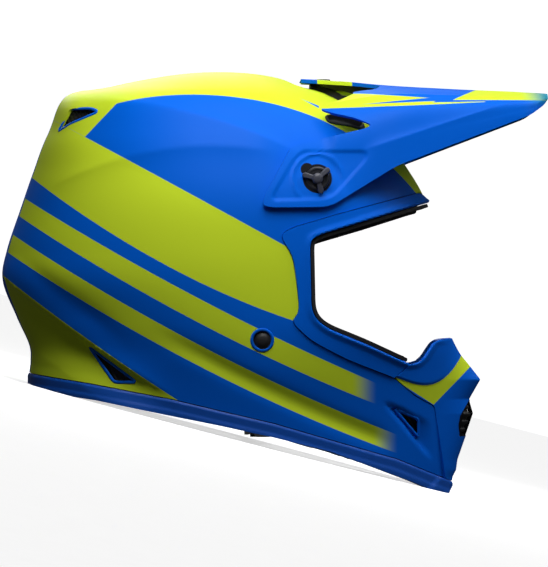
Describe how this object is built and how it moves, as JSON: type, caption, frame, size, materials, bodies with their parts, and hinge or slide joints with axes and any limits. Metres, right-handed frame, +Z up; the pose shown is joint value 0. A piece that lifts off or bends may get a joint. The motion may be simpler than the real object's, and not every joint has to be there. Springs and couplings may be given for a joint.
{
  "type": "motocross helmet",
  "caption": "Full-face off-road helmet with a long chin bar, open eyeport, foam and fabric lining, a tilting peaked visor on side pivots and a hanging chin strap.",
  "frame": {"origin": "centre of the footprint on the floor plane, with the helmet standing on its lower rim", "axes": "+X is the way the wearer faces, +Y the wearer's left, +Z up"},
  "size_m": [0.3544, 0.2556, 0.2954],
  "materials": {
    "shell_blue": "satin paint over a fibre laminate",
    "trim_blue": "satin",
    "visor_blue": "satin",
    "trim_yellow": "satin",
    "black_plastic": "matte",
    "black_rubber": "matte",
    "screw_plastic": "satin",
    "foam": "matte foam",
    "padding": "brushed knit",
    "webbing": "woven",
    "steel": "brushed"
  },
  "bodies": {
    "helmet": {"outer_shell": "shell_blue", "eyeport_frame": "shell_blue", "eyeport_gasket": "black_rubber", "mouthpiece": "shell_blue", "mouthpiece_grille": "black_plastic", "chin_vent_mesh_left": "black_plastic", "chin_vent_mesh_right": "black_plastic", "rear_lower_vent_mesh_left": "black_plastic", "rear_lower_vent_mesh_right": "black_plastic", "rear_upper_vent_mesh_left": "black_plastic", "rear_upper_vent_mesh_right": "black_plastic", "brow_scoop_left": "black_plastic", "brow_scoop_right": "black_plastic", "strap_anchor_left": "webbing", "strap_anchor_right": "webbing", "strap_rivet_left": "black_plastic", "strap_rivet_right": "black_plastic", "visor_insert_left": "steel", "visor_insert_right": "steel", "crown_mount": "trim_yellow", "impact_liner": "foam", "chin_liner": "foam", "comfort_liner": "padding", "cheek_pad_left": "padding", "cheek_pad_base_left": "foam", "cheek_pad_right": "padding", "cheek_pad_base_right": "foam", "neck_roll": "padding", "base_trim": "trim_blue"},
    "visor": {"visor": "visor_blue"},
    "screw_left": {"visor_screw_left": "screw_plastic"},
    "screw_right": {"visor_screw_right": "screw_plastic"},
    "centre_screw": {"visor_centre_screw": "screw_plastic"},
    "strap": {"strap_left": "webbing", "strap_right": "webbing", "strap_ring": "steel", "strap_snap": "steel"}
  },
  "joints": [
    {"name": "visor_tilt", "type": "hinge", "parent": "helmet", "child": "visor", "pos_m": [0.02593, 0, 0.19341], "axis": [0, 1, 0], "range_deg": [-2.5, 6]},
    {"name": "screw_left_turn", "type": "hinge", "parent": "helmet", "child": "screw_left", "pos_m": [0.02593, 0.1, 0.19341], "axis": [0, 1, 0], "continuous": true},
    {"name": "screw_right_turn", "type": "hinge", "parent": "helmet", "child": "screw_right", "pos_m": [0.02593, -0.1, 0.19341], "axis": [0, -1, 0], "continuous": true},
    {"name": "centre_screw_turn", "type": "hinge", "parent": "helmet", "child": "centre_screw", "pos_m": [0.01165, 0, 0.2641], "axis": [-0.2521, 0, 0.9677], "continuous": true},
    {"name": "strap_swing", "type": "hinge", "parent": "helmet", "child": "strap", "pos_m": [0.026, 0, 0.03843], "axis": [0, 1, 0], "range_deg": [-40, 40]}
  ]
}
